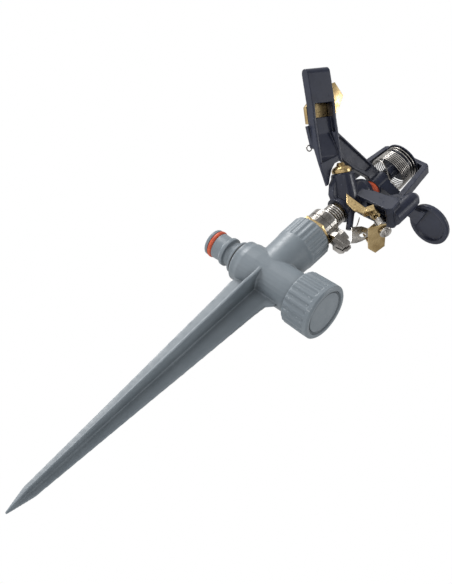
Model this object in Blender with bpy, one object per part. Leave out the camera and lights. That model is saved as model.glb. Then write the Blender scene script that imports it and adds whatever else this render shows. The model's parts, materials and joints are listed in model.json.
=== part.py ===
"""Impact sprinkler on a ground spike.

Lengths are in millimetres and heights are measured from the hub centre, where the hose line crosses the
turning axis; MM turns them into metres. The model's origin is HUB_HEIGHT below the hub centre, on the spike's
axis at the ground line. +Z is up the turning axis, +X towards the end cap and -X towards the hose nipple.
"""
import math

import bmesh
import bpy
from mathutils import Matrix, Vector

MM = 0.001
GAP = 0.3                      # between pieces that touch

HUB_HEIGHT = 25.0              # hub centre above the ground line

# ground spike
SPIKE_TIP = -216.0
FIN_REACH_TOP = 13.6
FIN_REACH_LOW = 4.6
FIN_HALF_TOP = 1.7             # half thickness of a fin at its root
FIN_HALF_LOW = 0.9

# manifold
LOBE_RADIUS = 13.8
STUB_RADIUS = 13.2
LOBE_END = -20.5
STUB_END = 37.0
LINE_BORE = 7.0
COLLAR_RADIUS = 13.9
COLLAR_TOP = 42.3
COLLAR_BORE = 8.0
COLLAR_RIBS = 22

# hose nipple and end cap
NIPPLE_END = -43.5
NIPPLE_RADIUS = 8.3
NIPPLE_BORE = 4.5
CAP_ROOT = 24.5
CAP_FACE = 45.0
CAP_RADIUS = 17.9
CAP_RIBS = 24

# swivel bearing
HEX_FLATS = 21.7
HEX_TOP = 45.2
NECK_RADIUS = 7.9
NECK_TOP = 56.2
STOP_BAND = 10.2               # outer radius of a friction collar
STOP_HEIGHT = 4.8
SLEEVE_RADIUS = 5.2
SLEEVE_BORE = 3.8
BEARING_WIRE = 0.75
BEARING_COIL = 6.4
BEARING_SPRING = (58.4, 65.9)  # centres of the first and last wire

# head
JET_ORIGIN = 76.0
JET_HEADING = math.radians(231.0)
JET_RISE = math.radians(25.0)
BARREL_END = 18.8
BARREL_BORE = 4.6
FULCRUM = Vector((2.0, 4.3, 0.0))         # the arm turns here
HOOD_CENTRE = Vector((2.1, 2.3, 0.0))
BRIDGE_TURN = math.radians(-7.0)
BRIDGE_TOP = 133.2
BRIDGE_BAR = 3.2               # height of its top bar
BRIDGE_DEPTH = 6.0
BODY_FLOOR = 79.5
POST_TOP = Vector((6.4, -3.8, 72.5))
POST_FOOT = Vector((13.2, 2.8, 61.4))
POST_RADIUS = 2.15

# reversing trip
TRIP_PIN = Vector((34.2, -4.6, 69.3))     # where the pin comes out of the bracket's face
TRIP_OUT = Vector((0.89, 0.0, -0.456))    # the pin's direction, outwards
TRIP_BORE = 1.5
TRIP_FACE = Vector((32.0, 0.0, 65.0))     # middle of the bracket's face

# arm
ARM_HEADING = math.radians(228.0)
PIN_RADIUS = 1.5
ARM_HUB = (99.2, 110.0)
BLOCK_RISE = math.radians(28.2)
BLOCK_START = (31.6, 74.5)     # reach from the turning axis and height of the channel's lower back corner
BLOCK_LENGTH = 58.0
BLOCK_HEIGHT = 17.4
BLOCK_SIDES = (-5.9, 0.3)
PLATE = 2.0
BLOCK_LIFT = ((-16, 3.6), (-2, 0.3), (26, 0.7), (34, 1.5), (60, 1.6))  # the channel's floor curves: length, rise
TAIL_HEADING = math.radians(22.4)
PADDLE_REACH = 40.8
PADDLE_RADIUS = 14.2
PADDLE_HEIGHT = 108.4
PADDLE_ROLL = math.radians(9.0)

# arm spring
SPRING_WIRE = 0.4
SPRING_FOOT = 113.6
SPRING_PITCH = 1.36
SPRING_TURNS = 9.0

UP = Vector((0.0, 0.0, 1.0))


def heading(angle):
    return Vector((math.cos(angle), math.sin(angle), 0.0))


def clear_scene():
    for item in list(bpy.data.objects):
        bpy.data.objects.remove(item)


def material(name, colour, roughness, metallic=0.0):
    made = bpy.data.materials.new(name)
    made.use_nodes = True
    shader = made.node_tree.nodes["Principled BSDF"]
    shader.inputs["Base Color"].default_value = (*colour, 1.0)
    shader.inputs["Roughness"].default_value = roughness
    shader.inputs["Metallic"].default_value = metallic
    made.diffuse_color = (*colour, 1.0)
    return made


def axis(name, place, parent=None):
    """An empty on a turning axis; place is in millimetres from its parent."""
    made = bpy.data.objects.new(name, None)
    bpy.context.collection.objects.link(made)
    made.parent = parent
    made.location = Vector(place) * MM
    made.empty_display_size = 0.01
    return made


def frame_along(direction, origin=(0, 0, 0), side=None):
    """A matrix whose +Z runs along direction and whose +X lies as near as it can to side."""
    z = Vector(direction).normalized()
    guide = Vector(side) if side is not None else (UP if abs(z.z) < 0.9 else Vector((1, 0, 0)))
    x = (guide - z * guide.dot(z)).normalized()
    y = z.cross(x)
    turn = Matrix((x, y, z)).transposed().to_4x4()
    return Matrix.Translation(Vector(origin)) @ turn


def build(name, shape, finish, parent, place=None):
    """Turn a bmesh in millimetres into an object under parent, placed by a matrix in millimetres."""
    bmesh.ops.recalc_face_normals(shape, faces=shape.faces)
    bmesh.ops.scale(shape, vec=(MM, MM, MM), verts=shape.verts)
    mesh = bpy.data.meshes.new(name)
    shape.to_mesh(mesh)
    shape.free()
    mesh.shade_smooth()
    mesh.set_sharp_from_angle(angle=math.radians(35))
    mesh.materials.append(finish)
    made = bpy.data.objects.new(name, mesh)
    bpy.context.collection.objects.link(made)
    made.parent = parent
    if place is not None:
        made.location = place.to_translation() * MM
        made.rotation_euler = place.to_euler()
    return made


def tool(target, operation, shape, place=None):
    """Join a shape to target, or cut it out, with an exact Boolean."""
    helper = build(f"{target.name}_{operation.lower()}_{len(target.modifiers)}", shape,
                   target.data.materials[0], target.parent, place)
    helper.hide_render = True
    helper.display_type = "WIRE"
    step = target.modifiers.new(operation.lower(), "BOOLEAN")
    step.operation = operation
    step.solver = "EXACT"
    step.object = helper


def join(target, shape, place=None):
    tool(target, "UNION", shape, place)


def cut(target, shape, place=None):
    tool(target, "DIFFERENCE", shape, place)


def ribbed(radius, depth, count):
    """A ring of flat-topped ribs: the radius falls by depth over the grooves between them."""
    def at(angle):
        part = (angle * count / (2 * math.pi)) % 1.0
        return radius - (depth if part >= 0.5 else 0.0)
    return at


def hexagon(flats):
    def at(angle):
        sixth = math.pi / 3
        return flats / 2 / math.cos(angle % sixth - sixth / 2)
    return at


def turned(outline, steps=32):
    """Turn (radius, height) points about Z. A radius may be a function of the angle. An outline that starts
    and ends on the axis is closed by it; any other is a loop, which makes a ring."""
    shape = bmesh.new()
    rings = []
    for radius, height in outline:
        if radius == 0:
            rings.append([shape.verts.new((0, 0, height))] * steps)
            continue
        ring = []
        for step in range(steps):
            angle = 2 * math.pi * (step + 0.01) / steps
            reach = radius(angle) if callable(radius) else radius
            ring.append(shape.verts.new((reach * math.cos(angle), reach * math.sin(angle), height)))
        rings.append(ring)
    follow = rings[1:] if outline[0][0] == 0 else rings[1:] + rings[:1]
    for low, high in zip(rings, follow):
        for step in range(steps):
            after = (step + 1) % steps
            corners = dict.fromkeys((low[step], low[after], high[after], high[step]))
            if len(corners) > 2:
                shape.faces.new(corners)
    return shape


def ring(inner, outer, low, high, steps=32):
    return turned([(inner, low), (outer, low), (outer, high), (inner, high)], steps)


def rod(radius, low, high, steps=24):
    return turned([(0, low), (radius, low), (radius, high), (0, high)], steps)


def prism(outline, low, high):
    """Raise a flat outline of (x, y) points from height low to height high."""
    shape = bmesh.new()
    floor = [shape.verts.new((x, y, low)) for x, y in outline]
    roof = [shape.verts.new((x, y, high)) for x, y in outline]
    shape.faces.new(floor)
    shape.faces.new(roof)
    for index, corner in enumerate(floor):
        after = (index + 1) % len(floor)
        shape.faces.new((corner, floor[after], roof[after], roof[index]))
    return shape


def loft(sections):
    """Bridge closed sections, each a list of the same number of 3-D points, and cap both ends."""
    shape = bmesh.new()
    loops = [[shape.verts.new(point) for point in section] for section in sections]
    for low, high in zip(loops, loops[1:]):
        for index, corner in enumerate(low):
            after = (index + 1) % len(low)
            shape.faces.new((corner, low[after], high[after], high[index]))
    shape.faces.new(loops[0])
    shape.faces.new(loops[-1])
    return shape


def wire(name, points, radius, finish, parent, closed=False):
    """A round wire through points in millimetres."""
    curve = bpy.data.curves.new(name, "CURVE")
    curve.dimensions = "3D"
    curve.bevel_depth = radius * MM
    curve.bevel_resolution = 1
    curve.use_fill_caps = True
    line = curve.splines.new("POLY")
    line.points.add(len(points) - 1)
    for slot, point in zip(line.points, points):
        slot.co = (*(Vector(point) * MM), 1.0)
    line.use_cyclic_u = closed
    curve.materials.append(finish)
    made = bpy.data.objects.new(name, curve)
    bpy.context.collection.objects.link(made)
    made.parent = parent
    return made


def helix(radius, low, high, turns, start=0.0, steps=18):
    count = round(turns * steps)
    for step in range(count + 1):
        angle = start + 2 * math.pi * step / steps
        yield Vector((radius * math.cos(angle), radius * math.sin(angle), low + (high - low) * step / count))


def upright(turn, centre=(0, 0, 0)):
    """A frame for outlines of (reach, height) points that stand in the vertical plane of a heading."""
    side = heading(turn)
    return frame_along(side.cross(UP), centre, side)


# ---------------------------------------------------------------- base

def cross_section(height, reach_x, reach_y, half):
    """The spike's four-fin section: its fins thin from the root to the edge."""
    edge = half * 0.6
    points = []
    for quarter in range(4):
        reach = reach_x if quarter == 0 else reach_y
        out = heading(math.pi / 2 * quarter)
        left = heading(math.pi / 2 * (quarter + 1))
        for along, across in ((reach, -edge), (reach, edge), (half, half)):
            points.append(out * along + left * across + UP * height)
    return points


def spike_body(finish, hub):
    lobe = turned([(0, LOBE_END), (11.6, LOBE_END), (13.0, LOBE_END + 1.2), (13.1, LOBE_END + 4.0),
                   (LOBE_RADIUS, LOBE_END + 6.5), (LOBE_RADIUS, -6.0), (STUB_RADIUS, 4.0),
                   (STUB_RADIUS, STUB_END), (0, STUB_END)])
    body = build("spike_body", lobe, finish, hub, frame_along((1, 0, 0)))
    rib = ribbed(COLLAR_RADIUS, 0.5, COLLAR_RIBS)
    collar = turned([(0, 0), (12.7, 0), (13.5, 24), (COLLAR_RADIUS, 26.5), (rib, 27.2), (rib, 41.0),
                     (COLLAR_RADIUS - 0.9, COLLAR_TOP), (0, COLLAR_TOP)], COLLAR_RIBS * 4)
    join(body, collar)
    sections = [cross_section(-6, 18.5, 13.2, FIN_HALF_TOP),
                cross_section(-14.5, 18.5, 13.2, FIN_HALF_TOP),
                cross_section(-18.5, 14.6, FIN_REACH_TOP, FIN_HALF_TOP),
                cross_section(-28, FIN_REACH_TOP, FIN_REACH_TOP - 0.8, FIN_HALF_TOP),
                cross_section(-198, FIN_REACH_LOW, FIN_REACH_LOW, FIN_HALF_LOW),
                cross_section(-212, 1.5, 1.5, 0.7),
                cross_section(SPIKE_TIP, 0.6, 0.6, 0.4)]
    join(body, loft(sections))
    cut(body, rod(LINE_BORE, LOBE_END - 1, STUB_END + 1), frame_along((1, 0, 0)))
    cut(body, rod(COLLAR_BORE, -2, COLLAR_TOP + 1, 32))
    return body


def hose_nipple(finish, rubber, orange, hub):
    """Axis along -X; heights in the outlines run outwards from the hub centre."""
    out = frame_along((-1, 0, 0))
    root = -LOBE_END
    tip = -NIPPLE_END
    build("hose_nipple", turned([
        (NIPPLE_BORE, root - 10), (LINE_BORE - GAP, root - 10), (LINE_BORE - GAP, root + 1.3),
        (10.4, root + 1.3), (10.4, root + 2.9), (7.6, root + 3.3), (7.6, tip - 15.3), (9.2, tip - 14.6),
        (9.2, tip - 12.6), (7.9, tip - 11.4), (8.1, tip - 5.4), (6.6, tip - 5.4), (6.6, tip - 2.4),
        (NIPPLE_RADIUS, tip - 2.4), (NIPPLE_RADIUS, tip - 0.8), (7.6, tip), (NIPPLE_BORE + 0.8, tip),
        (NIPPLE_BORE, tip - 1.2)]), finish, hub, out)
    seal = [Vector((math.cos(math.tau * i / 24), math.sin(math.tau * i / 24), 0)) * 7.7 for i in range(24)]
    place = frame_along((-1, 0, 0), (NIPPLE_END + 3.9, 0, 0))
    wire("hose_oring", [place @ point for point in seal], 0.98, orange, hub, closed=True)
    build("nipple_gasket", ring(LINE_BORE + 0.3, 10.8, root + 0.2, root + 1.0), rubber, hub, out)


def end_cap(finish, rubber, hub, cap_axis):
    along = frame_along((1, 0, 0))
    rib = ribbed(CAP_RADIUS, 0.7, CAP_RIBS)
    root = ribbed(CAP_RADIUS - 0.6, 0.7, CAP_RIBS)
    build("end_cap", turned([
        (0, CAP_FACE - 0.7), (13.2, CAP_FACE - 0.7), (13.5, CAP_FACE - 1.4), (14.4, CAP_FACE - 1.4),
        (14.9, CAP_FACE), (16.9, CAP_FACE), (CAP_RADIUS, CAP_FACE - 1.0), (CAP_RADIUS, CAP_FACE - 3.4),
        (rib, CAP_FACE - 3.9), (root, CAP_ROOT + 1.2), (16.2, CAP_ROOT), (STUB_RADIUS + 0.8, CAP_ROOT),
        (STUB_RADIUS + 0.8, CAP_FACE - 3.6), (0, CAP_FACE - 3.6)], CAP_RIBS * 4), finish, cap_axis, along)
    build("cap_gasket", ring(LINE_BORE + 1, STUB_RADIUS, STUB_END + 0.4, CAP_FACE - 4.0), rubber, hub, along)


# ---------------------------------------------------------------- bearing

def bearing(brass, steel, rubber, hub, head_axis, collar_axes):
    hexed = hexagon(HEX_FLATS)
    build("bearing_nipple", turned([
        (SLEEVE_RADIUS + GAP, 26.0), (COLLAR_BORE - GAP, 26.0), (COLLAR_BORE - GAP, COLLAR_TOP + GAP),
        (hexed, COLLAR_TOP + GAP), (hexed, HEX_TOP), (NECK_RADIUS, HEX_TOP), (NECK_RADIUS, NECK_TOP),
        (SLEEVE_RADIUS + GAP, NECK_TOP)], 36), brass, hub)
    build("bearing_sleeve", turned([
        (SLEEVE_BORE, 22.5), (7.4, 22.5), (7.4, 24.0), (SLEEVE_RADIUS, 24.0), (SLEEVE_RADIUS, 74.0),
        (SLEEVE_BORE, 74.0)], 24), brass, head_axis)
    build("sleeve_washer", ring(SLEEVE_RADIUS + GAP, 7.5, 24.3, 25.7, 24), rubber, hub)
    build("bearing_washer", ring(SLEEVE_RADIUS + GAP, 7.9, NECK_TOP + 0.3, 57.6, 24), steel, hub)
    wire("bearing_spring", list(helix(BEARING_COIL, *BEARING_SPRING, 4.5)), BEARING_WIRE, steel, hub)
    for name, low, turn, reach, drop in (
            ("friction_collar_lower", HEX_TOP + 0.3, -3.0, 14.6, 2.4),
            ("friction_collar_upper", HEX_TOP + 0.6 + STOP_HEIGHT, 8.0, 9.2, 0.0)):
        friction_collar(name, low, math.radians(turn), reach, drop, steel, collar_axes[name])


def friction_collar(name, low, turn, reach, drop, steel, parent):
    """A sprung band round the bearing's neck, with a folded stop tab that stands out from it by reach
    and hangs down by drop."""
    high = low + STOP_HEIGHT
    sprung = build(name, ring(NECK_RADIUS + GAP, STOP_BAND, low, high, 32), steel, parent)
    start = STOP_BAND - 0.8
    end = start + reach
    place = Matrix.Rotation(turn, 4, "Z")
    tab = [(start, 3.4), (start + 3.0, 4.6), (end - 3.6, 5.4), (end, 2.8), (end - 0.4, -2.6), (start + 5.0, -4.6),
           (start, -3.4)]
    join(sprung, prism(tab, low + 0.5, high - 0.3), place)
    flap = [(end - 9.0, 4.2), (end - 4.0, 4.9), (end - 0.7, 2.5), (end - 1.1, -2.2), (end - 9.0, -4.0)]
    join(sprung, prism(flap, low - drop, low + 1.0), place)
    slot = [(end - 6.6, 1.0), (end + 1.0, 0.2), (end + 1.0, -0.9), (end - 6.6, 0.0)]
    cut(sprung, prism(slot, low - drop - 1, high + 1), place)


# ---------------------------------------------------------------- head

def jet_frame(distance=0.0):
    along = heading(JET_HEADING) * math.cos(JET_RISE) + UP * math.sin(JET_RISE)
    return frame_along(along, UP * JET_ORIGIN + along * distance)


def head_body(finish, head_axis):
    socket = turned([(0, 67.2), (8.6, 67.2), (8.6, 70.0), (7.6, 70.8), (8.2, 84.0), (8.2, 90.0),
                     (5.6, 94.4), (0, 94.4)])
    body = build("head_body", socket, finish, head_axis)
    join(body, turned([(0, -3), (8.4, -3), (8.2, 6), (7.2, BARREL_END - 1.0), (6.6, BARREL_END),
                       (0, BARREL_END)], 28), jet_frame())
    join(body, prism([(6, 67.4), (11.5, 68.4), (16.0, 72.4), (18.2, 76.5), (15, 80), (6, 76)], -2.4, 2.4),
         upright(JET_HEADING))
    side = upright(BRIDGE_TURN, HOOD_CENTRE)
    hood = [(-8, 81), (-6.5, 85), (1, 85.4), (10.5, 88.6), (17, 89.4), (26, 91.2), (29, 90), (29.6, 82),
            (26.5, BODY_FLOOR), (5, BODY_FLOOR)]
    join(body, prism(hood, -7.0, 9.4), side)
    join(body, prism([(9, 86), (12, 90.5), (19, 99.5), (24.0, 100.5), (27, 91), (27, 86)], -3.0, 3.0), side)
    join(body, rod(6.4, 86.0, 94.4), Matrix.Translation(FULCRUM))
    underside = BRIDGE_TOP - BRIDGE_BAR
    join(body, prism([(-23.5, 84), (-20.5, 100), (-15.8, BRIDGE_TOP - 1.2), (-14.2, BRIDGE_TOP),
                      (16.6, BRIDGE_TOP), (18.4, BRIDGE_TOP - 1.2), (23.2, 96), (19.0, 96), (15.0, underside),
                      (-13.2, underside), (-16.5, 100), (-18.5, 88.5), (-4, 88.5), (-4, 84)],
                     -BRIDGE_DEPTH / 2, BRIDGE_DEPTH / 2), upright(BRIDGE_TURN, FULCRUM))
    boss = side @ Matrix.Translation((28.0, 83, 0)) @ Matrix.Rotation(-math.pi / 2, 4, "X")
    join(body, turned([(0, 0), (5.6, 0), (5.4, 17), (4.6, 21.0), (2.6, 23.4), (0, 24.2)], 24), boss)
    post = POST_FOOT - POST_TOP
    join(body, rod(POST_RADIUS, 0, post.length, 16), frame_along(post, POST_TOP))
    pocket = [(11, BODY_FLOOR - 1), (11, 86), (25, 87), (25.5, BODY_FLOOR - 1)]
    cut(body, prism(pocket, -5.2, 7.6), side)
    cut(body, rod(SLEEVE_RADIUS + GAP, 60, 77.0))
    cut(body, rod(BARREL_BORE, 0, BARREL_END + 2), jet_frame())
    cut(body, rod(PIN_RADIUS + GAP, 89, BRIDGE_TOP + 2, 16), Matrix.Translation(FULCRUM))
    return body


def nozzle_insert(brass, head_axis):
    base = BARREL_END + GAP
    build("nozzle_insert", turned([
        (1.7, base - 9), (BARREL_BORE - GAP, base - 9), (BARREL_BORE - GAP, base),
        (6.3, base), (6.3, base + 1.8), (5.4, base + 3.2), (2.9, base + 4.4), (2.1, base + 6.2),
        (1.7, base + 6.2)], 24),
        brass, head_axis, jet_frame())


# ---------------------------------------------------------------- arm

def arm_point(reach, height, across=0.0):
    """A point of the arm's plane: reach from the turning axis, height, and sideways towards the front."""
    side = heading(ARM_HEADING + math.pi / 2)
    return heading(ARM_HEADING) * reach + side * across + UP * height - FULCRUM


def plan_frame():
    """Along the channel seen from above: +X outwards, +Y to the open side, +Z up across its height."""
    along = heading(ARM_HEADING) * math.cos(BLOCK_RISE) + UP * math.sin(BLOCK_RISE)
    rise = -heading(ARM_HEADING) * math.sin(BLOCK_RISE) + UP * math.cos(BLOCK_RISE)
    return frame_along(rise, arm_point(*BLOCK_START), along)


def arc_points(centre, radius, start, end, count):
    for step in range(count + 1):
        angle = math.radians(start + (end - start) * step / count)
        yield centre[0] + radius * math.cos(angle), centre[1] + radius * math.sin(angle)


def band(points, width):
    """The outline of a strip of the given width to the left of a line of points."""
    edge = []
    for index, point in enumerate(points):
        before = points[max(index - 1, 0)]
        after = points[min(index + 1, len(points) - 1)]
        run = Vector((after[0] - before[0], after[1] - before[1])).normalized()
        edge.append((point[0] - run.y * width, point[1] + run.x * width))
    return list(points) + edge[::-1]


def lift(along):
    """Rise of the channel's floor above its straight line."""
    for (start, low), (end, high) in zip(BLOCK_LIFT, BLOCK_LIFT[1:]):
        if along <= end:
            return low + (high - low) * (along - start) / (end - start)
    return BLOCK_LIFT[-1][1]


def curved(shape):
    """Bend a straight piece of the channel along its floor's curve."""
    for along, _ in BLOCK_LIFT[1:-1]:
        everything = list(shape.verts) + list(shape.edges) + list(shape.faces)
        bmesh.ops.bisect_plane(shape, geom=everything, plane_co=(along, 0, 0), plane_no=(1, 0, 0))
    for corner in shape.verts:
        corner.co.z += lift(corner.co.x)
    return shape


def drive_arm(finish, arm_axis):
    low, high = BLOCK_SIDES
    plan = plan_frame()
    middle = (low + high) / 2
    corner = (high - low) / 2
    round_end = list(arc_points((BLOCK_LENGTH - corner, middle), corner, -90, 90, 8))
    arm = build("drive_arm", ring(PIN_RADIUS + GAP, 5.4, *ARM_HUB, 28), finish, arm_axis)
    side = upright(ARM_HEADING, -FULCRUM)
    web = [(-3, 99.6), (-3, 109.6), (3, 108.8), (38, 98.4), (41, 94.8), (30, 91.5), (22, 90.5), (13, 94),
           (3.4, 99.6)]
    join(arm, prism(web, 0.2, 4.4), side)
    recess = [(7, 106.4), (34, 98.2), (37.4, 95.6), (30, 93.3), (22.4, 92.4), (14.4, 95.6), (7, 100.4)]
    cut(arm, prism(recess, -1.0, 1.4), side)
    beak = [(30.5, 74.4), (16.8, 70.2), (17.0, 72.4), (19.4, 75.0), (21.3, 77.6), (22.4, 79.0), (23.3, 80.8),
            (24.4, 84.0), (23.7, 87.5), (27, 90)]
    join(arm, prism(beak, 0.0, 2.0), side)
    floor = [(-0.8, high - 2.2), (9, high - 4.6), (18, low)] + round_end + [(-0.8, high)]
    join(arm, curved(prism(floor, 0, PLATE)), plan)
    join(arm, curved(prism(floor, BLOCK_HEIGHT - PLATE, BLOCK_HEIGHT)), plan)
    spoon = [(BLOCK_LENGTH - 22, high)] + round_end[::-1] + [(BLOCK_LENGTH - 12, low)]
    join(arm, curved(prism(band(spoon, -PLATE), 0.2, BLOCK_HEIGHT - 0.2)), plan)
    vane = [(-0.6, high - 1.9), (3, high - 0.8), (9, high - 1.6), (17, high - 2.9), (27.5, high - 3.2),
            (27.5, low + 0.1), (18, low + 0.2), (9, high - 4.4)]
    join(arm, curved(prism(vane, 0.2, BLOCK_HEIGHT - 0.2)), plan)
    lug = [(52.6, 84.6), (51.6, 87.2), (46.0, 93.5), (41.0, 88.0), (37.5, 81.5), (40.0, 79.2)]
    join(arm, prism(lug, 4.6, 7.4), side)
    tail_and_paddle(arm)
    cut(arm, rod(PIN_RADIUS + GAP, 90, 120, 16))
    return arm


def tail_and_paddle(arm):
    out = heading(TAIL_HEADING)
    across = heading(TAIL_HEADING + math.pi / 2)
    sections = []
    for reach, half, low, high in ((3, 4.6, 100.5, 108.5), (20, 4.2, 103.0, 108.6), (30, 5.6, 105.6, 109.0),
                                   (PADDLE_REACH - 6, 8.5, 106.6, 109.4)):
        sections.append([out * reach + across * half * s + UP * z
                         for s, z in ((-1, low), (1, low), (1, high), (-1, high))])
    join(arm, loft(sections))
    normal = UP * math.cos(PADDLE_ROLL) + across * math.sin(PADDLE_ROLL)
    dish = frame_along(normal, out * PADDLE_REACH + UP * PADDLE_HEIGHT, out)
    join(arm, turned([(0, 0.4), (10.4, 0.4), (11.6, -1.3), (PADDLE_RADIUS - 0.5, -1.3), (PADDLE_RADIUS, -0.6),
                      (PADDLE_RADIUS - 0.4, 2.0), (0, 2.2)], 32), dish)


def arm_weight(brass, arm_axis):
    """Six-sided plate behind the channel."""
    outline = [(52, 120.4), (62, 120.4), (66, 108), (62, 92), (53, 86.8), (46, 97), (46.3, 110)]
    near = -BLOCK_SIDES[0] + GAP
    build("arm_weight", prism(outline, near, near + 2.9), brass, arm_axis, upright(ARM_HEADING, -FULCRUM))


def weight_clip(steel, arm_axis):
    """A small ring of wire behind the lug on the channel's far side."""
    frame = upright(ARM_HEADING, -FULCRUM)
    loop = [frame @ Vector((*point, 8.2)) for point in arc_points((40.2, 79.2), 1.8, 0, 337.5, 15)]
    wire("weight_clip", loop, 0.45, steel, arm_axis, closed=True)


def fulcrum(steel, orange, finish, head_axis):
    place = Matrix.Translation(FULCRUM)
    build("fulcrum_pin", rod(PIN_RADIUS, 89.4, BRIDGE_TOP + 0.4, 16), steel, head_axis, place)
    build("arm_washer", turned([(PIN_RADIUS + GAP, 94.7), (5.6, 94.7), (6.1, 96.4), (5.2, 98.9),
                                (PIN_RADIUS + GAP, 98.9)], 28), orange, head_axis, place)
    top = BRIDGE_TOP - BRIDGE_BAR - GAP
    build("spring_retainer", turned([
        (PIN_RADIUS + GAP, 113.0), (4.0, 113.0), (4.0, 121.0), (9.8, 122.0), (9.9, top - 1.3), (12.5, top - 1.2),
        (12.5, top - 0.4), (9.5, top), (PIN_RADIUS + GAP, top)], 32), finish, head_axis, place)
    wire("arm_spring", [point + FULCRUM for point in arm_coil()], SPRING_WIRE, steel, head_axis)


def arm_coil():
    """A leg from the bridge's right post, a quick climb, close turns and an open turn under the retainer."""
    yield Vector((18.6, -8.3, 102.1))
    yield Vector((6.8, -8.3, 105.0))
    for turn, reach, rise in ((292, 11.6, 108.0), (262, 12.1, 111.0), (235, 12.2, 113.0)):
        yield heading(math.radians(turn)) * reach + UP * rise
    steps = 18
    for step in range(round(SPRING_TURNS * steps) + 1):
        turn = step / steps
        rise = SPRING_FOOT + SPRING_PITCH * turn + 2.0 * min(max(turn - 7.2, 0.0), 1.0)
        reach = 12.2 - 0.09 * turn
        yield heading(math.radians(215) - math.tau * turn) * reach + UP * rise


# ---------------------------------------------------------------- reversing trip

def trip_bracket(brass, head_axis):
    """Folded sheet: a face that leans outwards under the body, two sides and a strap up to the body."""
    face = frame_along((0.89, 0, -0.455), TRIP_FACE, (0, 1, 0))
    outline = [(-9.5, -6), (-10.5, 6), (7.5, 5.6), (13.5, 0.8), (10.0, -5.4), (-5.4, -5.8), (-5.4, -1.4),
               (-6.8, -1.4), (-6.8, -5.9)]
    outline = [(y, -w) for y, w in outline]
    bracket = build("trip_bracket", prism(outline, -1.0, 0), brass, head_axis, face)
    join(bracket, prism([(3.0, -5.4), (4.0, -5.4), (4.0, 5.0), (3.0, 5.0)], -9.0, -0.6), face)
    strap = [(21.0, 66.0), (27.5, 66.0), (25.0, BODY_FLOOR + 3.0), (22.0, BODY_FLOOR + 3.0)]
    join(bracket, prism(strap, -4.0, -3.0), upright(0.0))
    cut(bracket, rod(TRIP_BORE, -20, 20, 16), frame_along(TRIP_OUT, TRIP_PIN))
    return bracket


def trip_moving(brass, steel, trip_axis):
    """The lever and the shoe each clasp the pin with a sleeve; the shoe hangs down to the stop tabs.
    Outlines are (x, height) from the pin's end in the bracket's face."""
    along = frame_along(TRIP_OUT)
    flat = upright(0.0)
    lever = build("trip_lever", ring(TRIP_BORE, 3.0, -16.5, -12.5, 20), brass, trip_axis, along)
    blade = [(-33.1, 4.4), (-15.3, 2.3), (-14.9, -1.7), (-21.1, -3.6), (-28.1, -1.6)]
    join(lever, prism(blade, 5.7, 6.7), flat)
    join(lever, prism([(-18.5, 0.6), (-15.2, -0.8), (-11.6, 5.2), (-15.0, 8.2)], 2.0, 6.2), flat)
    cut(lever, rod(TRIP_BORE, -30, 10, 16), along)
    shoe = build("trip_shoe", ring(TRIP_BORE, 3.0, -9.0, -3.6, 20), steel, trip_axis, along)
    wing = [(-19.3, -7.8), (-14.8, -3.3), (-8.5, -1.6), (-6.3, -5.8), (-7.6, -11.8), (-9.4, -15.4), (-11.6, -17.6)]
    join(shoe, prism(wing, -4.8, -3.6), flat)
    join(shoe, prism([(-9.5, -4.6), (-8.2, 3.0), (-4.6, 3.4), (-4.0, -1.0), (-6.6, -6.4)], -4.8, -2.2), flat)
    cut(shoe, rod(1.9, 0, 10, 16), frame_along((0, 1, 0), (-10.2, 0, -8.5)))
    cut(shoe, rod(TRIP_BORE, -30, 10, 16), along)


def trip(brass, steel, head_axis, trip_axis):
    trip_bracket(brass, head_axis)
    shank = TRIP_BORE - GAP
    build("trip_pin", turned([(0, -18.0), (shank, -18.0), (shank, 0.9), (4.0, 0.9), (4.0, 1.9), (3.1, 2.6),
                              (2.4, 1.9), (1.5, 1.9), (1.2, 3.2), (0, 3.2)], 24),
          steel, head_axis, frame_along(TRIP_OUT, TRIP_PIN))
    trip_moving(brass, steel, trip_axis)
    bend = [POST_FOOT + Vector(step) for step in ((2.6, -1.5, 0), (3.2, -2.2, 3.4), (2.0, -3.0, 6.6),
                                                  (0.6, -3.8, 9.4))]
    wire("trip_spring", bend, 0.4, steel, head_axis)


def main():
    clear_scene()
    grey = material("base_grey", (0.20, 0.225, 0.25), 0.5)
    dark = material("head_black", (0.055, 0.06, 0.075), 0.45)
    brass = material("brass", (0.62, 0.45, 0.20), 0.3, 1.0)
    steel = material("steel", (0.55, 0.54, 0.52), 0.3, 1.0)
    orange = material("orange_seal", (0.65, 0.12, 0.04), 0.5)
    rubber = material("rubber", (0.03, 0.03, 0.03), 0.7)

    hub = axis("hub_centre", (0, 0, HUB_HEIGHT))
    head_axis = axis("head_axis", (0, 0, 0), hub)
    arm_axis = axis("arm_axis", FULCRUM, head_axis)
    trip_axis = axis("trip_axis", TRIP_PIN, head_axis)
    cap_axis = axis("cap_axis", (0, 0, 0), hub)
    collar_axes = {name: axis(f"{name}_axis", (0, 0, 0), hub)
                   for name in ("friction_collar_lower", "friction_collar_upper")}

    spike_body(grey, hub)
    hose_nipple(grey, rubber, orange, hub)
    end_cap(grey, rubber, hub, cap_axis)
    bearing(brass, steel, rubber, hub, head_axis, collar_axes)
    head_body(dark, head_axis)
    nozzle_insert(brass, head_axis)
    drive_arm(dark, arm_axis)
    arm_weight(brass, arm_axis)
    weight_clip(steel, arm_axis)
    fulcrum(steel, orange, dark, head_axis)
    trip(brass, steel, head_axis, trip_axis)


main()
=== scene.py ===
"""The looks of the impact sprinkler: camera, light, materials and the fine pieces that stand for CAD nodes.

Lengths are in metres in the row frame: +Z up the head's turning axis, +X towards the end cap.
"""

import json
import math

import bmesh
import bpy
from mathutils import Matrix, Vector


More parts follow.
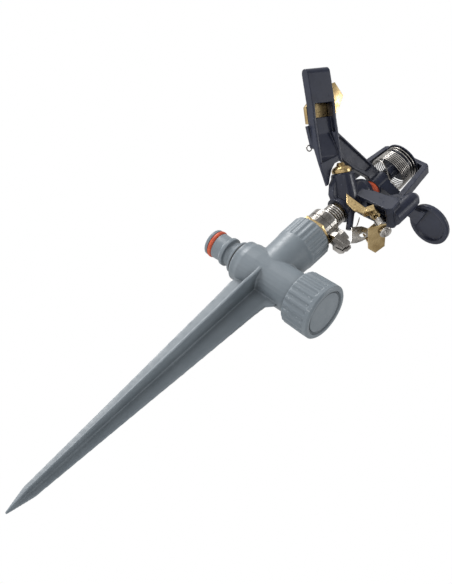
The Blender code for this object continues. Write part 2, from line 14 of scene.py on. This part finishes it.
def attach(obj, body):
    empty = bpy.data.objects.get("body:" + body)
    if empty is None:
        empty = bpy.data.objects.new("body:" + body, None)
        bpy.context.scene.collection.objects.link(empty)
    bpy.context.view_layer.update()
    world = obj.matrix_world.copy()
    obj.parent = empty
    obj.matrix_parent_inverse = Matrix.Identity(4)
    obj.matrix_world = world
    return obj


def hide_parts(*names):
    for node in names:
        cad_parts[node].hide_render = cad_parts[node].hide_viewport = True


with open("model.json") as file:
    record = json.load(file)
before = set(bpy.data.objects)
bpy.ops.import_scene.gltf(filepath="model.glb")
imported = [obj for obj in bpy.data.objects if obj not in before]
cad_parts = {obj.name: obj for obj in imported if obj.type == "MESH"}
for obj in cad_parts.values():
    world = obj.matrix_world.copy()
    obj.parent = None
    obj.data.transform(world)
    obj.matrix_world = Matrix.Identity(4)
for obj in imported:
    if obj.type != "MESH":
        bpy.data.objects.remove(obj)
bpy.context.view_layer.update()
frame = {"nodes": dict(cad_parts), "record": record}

MM = 0.001
HUB = Vector((0, 0, 25 * MM))              # where the hose line crosses the turning axis

# the hose nipple's O-ring
SEAL_CENTRE = HUB + Vector((-39.6, 0, 0)) * MM
SEAL_RADIUS = 7.7 * MM
SEAL_HIGH = 0.98 * MM
SEAL_WIDE = 1.35 * MM
SEAL_STEPS = 96
SEAL_CORNERS = 16

# camera
VIEW_RIGHT = Vector((0.747, 0.048, 0.663))
VIEW_AHEAD = Vector((-0.450, 0.770, 0.452))
VIEW_DISTANCE = 1.0
VIEW_SHIFT = Vector((-0.02446, -0.00955))  # where the camera stands, right and up of the hub
LENS = 103.3
SENSOR = 36.0

# studio
FLOOR_HEIGHT = -0.52
FLOOR_SIDE = 60.0
ROOM_SIDE = (-0.45, 0.55, 0.75)            # the bright side of the room
ROOM_DIM = 0.12
ROOM_BRIGHT = 0.80
LIGHT_DISTANCE = 1.6
SOFTBOXES = (                              # name, direction from the hub, side in metres, watts
    ("key", (-0.80, -0.60, 0.35), 0.6, 22.0),
    ("rim", (0.9, -0.2, 0.9), 0.4, 6.0),
    ("fill", (0.35, -0.95, -0.25), 0.5, 2.5),
)


# ---------------------------------------------------------------- materials

def set_range(node, low, high, to_low, to_high):
    numbers = {"From Min": low, "From Max": high, "To Min": to_low, "To Max": to_high}
    for socket, number in numbers.items():
        node.inputs[socket].default_value = number


class Paint:
    """A Principled material under construction, with short ways to add its nodes."""

    def __init__(self, name, roughness, metallic=0.0):
        self.made = bpy.data.materials.new(name)
        self.made.use_nodes = True
        self.tree = self.made.node_tree
        self.shader = self.tree.nodes["Principled BSDF"]
        self.shader.inputs["Metallic"].default_value = metallic
        self.shader.inputs["Roughness"].default_value = roughness
        self.place = self.tree.nodes.new("ShaderNodeTexCoord").outputs["Object"]

    def link(self, start, end):
        self.tree.links.new(start, end)

    def noise(self, scale, detail=2.0):
        node = self.tree.nodes.new("ShaderNodeTexNoise")
        node.inputs["Scale"].default_value = scale
        node.inputs["Detail"].default_value = detail
        self.link(self.place, node.inputs["Vector"])
        return node.outputs["Fac"]

    def spread(self, value, low, high, to_low=0.0, to_high=1.0):
        """Map low..high of a socket to to_low..to_high."""
        node = self.tree.nodes.new("ShaderNodeMapRange")
        set_range(node, low, high, to_low, to_high)
        self.link(value, node.inputs["Value"])
        return node.outputs["Result"]

    def mix(self, share, first, second):
        """first and second are colours or sockets."""
        node = self.tree.nodes.new("ShaderNodeMix")
        node.data_type = "RGBA"
        self.link(share, node.inputs["Factor"])
        for socket, colour in (("A", first), ("B", second)):
            target = next(s for s in node.inputs if s.name == socket and s.type == "RGBA")
            if isinstance(colour, tuple):
                target.default_value = (*colour, 1.0)
            else:
                self.link(colour, target)
        return next(s for s in node.outputs if s.type == "RGBA")

    # Mask of the paler edges: rubbed wear, and on the plastics also a painted highlight.
    def worn_and_highlit_edge(self, low=0.53, high=0.62):
        """0 on open faces, 1 on outer corners."""
        node = self.tree.nodes.new("ShaderNodeNewGeometry")
        return self.spread(node.outputs["Pointiness"], low, high)

    # Mask for painted shade: ambient occlusion darkens corners, creases and the gaps between parts.
    def painted_crevice_shade(self, reach, low=0.35, high=0.9):
        """1 in open places, 0 deep in a corner; reach is in millimetres."""
        node = self.tree.nodes.new("ShaderNodeAmbientOcclusion")
        node.inputs["Distance"].default_value = reach * MM
        node.samples = 8
        return self.spread(node.outputs["AO"], low, high)

    def colour(self, socket):
        self.link(socket, self.shader.inputs["Base Color"])

    def roughness(self, socket):
        self.link(socket, self.shader.inputs["Roughness"])

    def bump(self, height, strength, distance, before=None):
        node = self.tree.nodes.new("ShaderNodeBump")
        node.inputs["Strength"].default_value = strength
        node.inputs["Distance"].default_value = distance
        self.link(height, node.inputs["Height"])
        if before is not None:
            self.link(before, node.inputs["Normal"])
        self.link(node.outputs["Normal"], self.shader.inputs["Normal"])
        return node.outputs["Normal"]


def darker(colour, share):
    return tuple(share * part for part in colour)


def moulded(name, base, dull, edge, roughness, shine=0.5, grain=900.0):
    """Injection-moulded plastic: a spark-eroded grain, faint flow clouds, painted shade in corners and paler
    edges of rubbed wear and painted highlight.
    """
    paint = Paint(name, roughness)
    clouds = paint.spread(paint.noise(45.0, 3.0), 0.35, 0.65)
    body = paint.mix(clouds, base, dull)
    # painted shade: corners and creases darkened towards a dark copy of the dull colour
    shaded = paint.mix(paint.painted_crevice_shade(9.0), darker(dull, 0.35), body)
    # paler edges: partly rubbed wear, partly painted highlight
    paint.colour(paint.mix(paint.worn_and_highlit_edge(), shaded, edge))
    paint.roughness(paint.spread(paint.noise(260.0, 3.0), 0.3, 0.7, roughness - 0.07, roughness + 0.09))
    slow = paint.bump(paint.noise(120.0, 1.0), 0.10, 0.4 * MM)
    paint.bump(paint.noise(grain, 2.0), 0.22, 0.12 * MM, slow)
    paint.shader.inputs["Specular IOR Level"].default_value = shine
    return paint.made


def cast_metal(name, base, dark, bright, roughness):
    """Sheet, wire or turned metal: tarnish clouds, a fine grain, painted shade in corners and edges rubbed
    bright.
    """
    paint = Paint(name, roughness, 1.0)
    clouds = paint.spread(paint.noise(90.0, 4.0), 0.36, 0.66)
    fine = paint.noise(700.0, 3.0)
    body = paint.mix(clouds, base, dark)
    # painted shade: corners and creases darkened towards a dark copy of the tarnish colour
    shaded = paint.mix(paint.painted_crevice_shade(2.0, 0.0, 0.55), darker(dark, 0.3), body)
    paint.colour(paint.mix(paint.worn_and_highlit_edge(0.54, 0.62), shaded, bright))
    paint.roughness(paint.spread(fine, 0.3, 0.7, roughness - 0.08, roughness + 0.12))
    paint.bump(fine, 0.15, 0.08 * MM)
    return paint.made


def rubbery(name, base, dull, roughness):
    paint = Paint(name, roughness)
    clouds = paint.spread(paint.noise(300.0, 3.0), 0.35, 0.65)
    paint.colour(paint.mix(clouds, base, dull))
    paint.roughness(paint.spread(paint.noise(500.0), 0.3, 0.7, roughness - 0.05, roughness + 0.1))
    paint.bump(paint.noise(1500.0), 0.12, 0.05 * MM)
    return paint.made


def plain_floor():
    paint = Paint("pale_floor", 0.75)
    clouds = paint.noise(3.0, 2.0)
    paint.colour(paint.mix(clouds, (0.90, 0.90, 0.90), (0.93, 0.93, 0.93)))
    return paint.made


# For a moulded plastic the third colour is its pale edge: rubbed wear and painted highlight.
SLOTS = {
    "base_grey": moulded("base_grey_moulded", (0.185, 0.215, 0.240), (0.160, 0.190, 0.215),
                         (0.30, 0.33, 0.355), 0.42),
    "head_black": moulded("head_moulded", (0.021, 0.026, 0.048), (0.015, 0.018, 0.034),
                          (0.075, 0.085, 0.12), 0.34, 0.36),
    "brass": cast_metal("brass_sheet", (0.66, 0.50, 0.26), (0.36, 0.25, 0.11), (0.88, 0.76, 0.48), 0.30),
    "steel": cast_metal("drawn_steel", (0.52, 0.50, 0.47), (0.20, 0.185, 0.17), (0.82, 0.80, 0.77), 0.24),
    "orange_seal": rubbery("orange_rubber", (0.62, 0.10, 0.03), (0.45, 0.06, 0.02), 0.45),
    "rubber": rubbery("black_rubber", (0.02, 0.02, 0.02), (0.03, 0.03, 0.03), 0.6),
}


# ---------------------------------------------------------------- fine pieces

def evaluated(piece):
    """Apply the piece's modifiers."""
    mesh = bpy.data.meshes.new_from_object(piece.evaluated_get(bpy.context.evaluated_depsgraph_get()))
    piece.modifiers.clear()
    piece.data = mesh


def finish_piece(piece, node):
    record = frame["record"]
    slot = next(row["material_slot"] for row in record["subparts"] if row["node"] == node)
    body = next(name for name, members in record["behaviour"]["bodies"].items() if node in members)
    piece.data.materials.clear()
    piece.data.materials.append(SLOTS[slot])
    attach(piece, body)
    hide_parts(node)


def copied(node, flat=math.radians(1.0)):
    """A copy of the node's mesh with its seams closed and its flat faces whole."""
    piece = bpy.data.objects.new(f"{node}_fine", frame["nodes"][node].data.copy())
    bpy.context.collection.objects.link(piece)
    shape = bmesh.new()
    shape.from_mesh(piece.data)
    bmesh.ops.remove_doubles(shape, verts=shape.verts, dist=0.002 * MM)
    if flat:
        bmesh.ops.dissolve_limit(shape, angle_limit=flat, verts=shape.verts, edges=shape.edges)
    shape.to_mesh(piece.data)
    shape.free()
    return piece


def cast(node, voxel, rounds):
    """A moulded or cast piece: every corner and joint line of the node is rounded."""
    piece = copied(node)
    remesh = piece.modifiers.new("remesh", "REMESH")
    remesh.mode = "VOXEL"
    remesh.voxel_size = voxel * MM
    soften = piece.modifiers.new("soften", "SMOOTH")
    soften.factor = 0.5
    soften.iterations = rounds
    evaluated(piece)
    piece.data.shade_smooth()
    finish_piece(piece, node)


def machined(node, width):
    """A turned or cut piece: its sharp edges are broken."""
    piece = copied(node)
    bevel = piece.modifiers.new("bevel", "BEVEL")
    bevel.width = width * MM
    bevel.segments = 3
    bevel.limit_method = "ANGLE"
    bevel.angle_limit = math.radians(32)
    evaluated(piece)
    piece.data.shade_smooth()
    piece.data.set_sharp_from_angle(angle=math.radians(30))
    finish_piece(piece, node)


def drawn(node):
    """A piece of round wire: its section is smoothed from the node's octagon."""
    piece = copied(node, None)
    rounded = piece.modifiers.new("rounded", "SUBSURF")
    rounded.levels = 1
    rounded.render_levels = 1
    evaluated(piece)
    piece.data.shade_smooth()
    finish_piece(piece, node)


def seal_ring():
    """The hose O-ring, squeezed to an oval section that fills its groove."""
    shape = bmesh.new()
    rings = []
    for step in range(SEAL_STEPS):
        angle = math.tau * step / SEAL_STEPS
        out = Vector((0, math.cos(angle), math.sin(angle)))
        section = []
        for corner in range(SEAL_CORNERS):
            turn = math.tau * corner / SEAL_CORNERS
            reach = SEAL_RADIUS + SEAL_HIGH * math.cos(turn)
            along = Vector((SEAL_WIDE * math.sin(turn), 0, 0))
            section.append(shape.verts.new(SEAL_CENTRE + (out * reach + along)))
        rings.append(section)
    for first, second in zip(rings, rings[1:] + rings[:1]):
        for corner in range(SEAL_CORNERS):
            after = (corner + 1) % SEAL_CORNERS
            shape.faces.new((first[corner], first[after], second[after], second[corner]))
    bmesh.ops.recalc_face_normals(shape, faces=shape.faces)
    mesh = bpy.data.meshes.new("hose_oring_fine")
    shape.to_mesh(mesh)
    shape.free()
    mesh.shade_smooth()
    piece = bpy.data.objects.new("hose_oring_fine", mesh)
    bpy.context.collection.objects.link(piece)
    finish_piece(piece, "hose_oring")


def keep(node):
    """A CAD node whose shape is right gets its slot's material."""
    held = frame["nodes"][node]
    slot = next(row["material_slot"] for row in frame["record"]["subparts"] if row["node"] == node)
    held.data.materials.clear()
    held.data.materials.append(SLOTS[slot])


def fine_pieces():
    cast("spike_body", 0.42, 3)
    cast("end_cap", 0.22, 3)
    cast("head_body", 0.26, 4)
    cast("drive_arm", 0.26, 4)
    cast("spring_retainer", 0.22, 3)
    for node in ("friction_collar_lower", "friction_collar_upper", "trip_bracket", "trip_lever", "trip_shoe"):
        cast(node, 0.14, 2)
    for node in ("hose_nipple", "bearing_nipple", "nozzle_insert", "arm_weight", "trip_pin", "arm_washer"):
        machined(node, 0.25)
    seal_ring()
    for node in ("bearing_spring", "weight_clip", "arm_spring", "trip_spring"):
        drawn(node)
    for node in ("nipple_gasket", "cap_gasket", "bearing_sleeve", "sleeve_washer", "bearing_washer",
                 "fulcrum_pin"):
        keep(node)


# ---------------------------------------------------------------- studio

def camera():
    right = VIEW_RIGHT.normalized()
    ahead = (VIEW_AHEAD - right * VIEW_AHEAD.dot(right)).normalized()
    up = right.cross(ahead)
    made = bpy.data.objects.new("camera", bpy.data.cameras.new("camera"))
    bpy.context.collection.objects.link(made)
    place = HUB - ahead * VIEW_DISTANCE + right * VIEW_SHIFT.x + up * VIEW_SHIFT.y
    made.matrix_world = Matrix.Translation(place) @ Matrix((right, up, -ahead)).transposed().to_4x4()
    made.data.sensor_fit = "VERTICAL"
    made.data.sensor_height = SENSOR
    made.data.lens = LENS
    made.data.clip_start = 0.01
    bpy.context.scene.camera = made


def softbox(name, toward, side, power):
    """A square soft light, seen from the hub in the direction toward."""
    made = bpy.data.objects.new(name, bpy.data.lights.new(name, "AREA"))
    bpy.context.collection.objects.link(made)
    made.data.shape = "SQUARE"
    made.data.size = side
    made.data.energy = power
    direction = Vector(toward).normalized()
    made.location = HUB + direction * LIGHT_DISTANCE
    made.rotation_euler = direction.to_track_quat("Z", "Y").to_euler()


def studio():
    size = FLOOR_SIDE / 2
    shape = bmesh.new()
    bmesh.ops.create_grid(shape, x_segments=8, y_segments=8, size=size)
    mesh = bpy.data.meshes.new("floor")
    shape.to_mesh(mesh)
    shape.free()
    mesh.materials.append(plain_floor())
    floor = bpy.data.objects.new("floor", mesh)
    bpy.context.collection.objects.link(floor)
    floor.location.z = FLOOR_HEIGHT

    white_room()
    bpy.context.scene.view_settings.view_transform = "Standard"

    for name, toward, side, power in SOFTBOXES:
        softbox(name, toward, side, power)


def white_room():
    """A white backdrop, and a room that lights the object brightly from ROOM_SIDE and dimly from across."""
    world = bpy.data.worlds.new("studio")
    world.use_nodes = True
    nodes = world.node_tree.nodes
    links = world.node_tree.links
    toward = nodes.new("ShaderNodeVectorMath")
    toward.operation = "DOT_PRODUCT"
    toward.inputs[1].default_value = Vector(ROOM_SIDE).normalized()
    links.new(nodes.new("ShaderNodeTexCoord").outputs["Generated"], toward.inputs[0])
    glow = nodes.new("ShaderNodeMapRange")
    glow.interpolation_type = "SMOOTHSTEP"
    set_range(glow, -0.7, 0.9, ROOM_DIM, ROOM_BRIGHT)
    links.new(toward.outputs["Value"], glow.inputs["Value"])
    seen = nodes.new("ShaderNodeMix")
    links.new(nodes.new("ShaderNodeLightPath").outputs["Is Camera Ray"], seen.inputs["Factor"])
    links.new(glow.outputs["Result"], seen.inputs["A"])
    seen.inputs["B"].default_value = 1.0
    nodes["Background"].inputs["Color"].default_value = (1.0, 1.0, 1.0, 1.0)
    links.new(seen.outputs["Result"], nodes["Background"].inputs["Strength"])
    bpy.context.scene.world = world


camera()
fine_pieces()
studio()
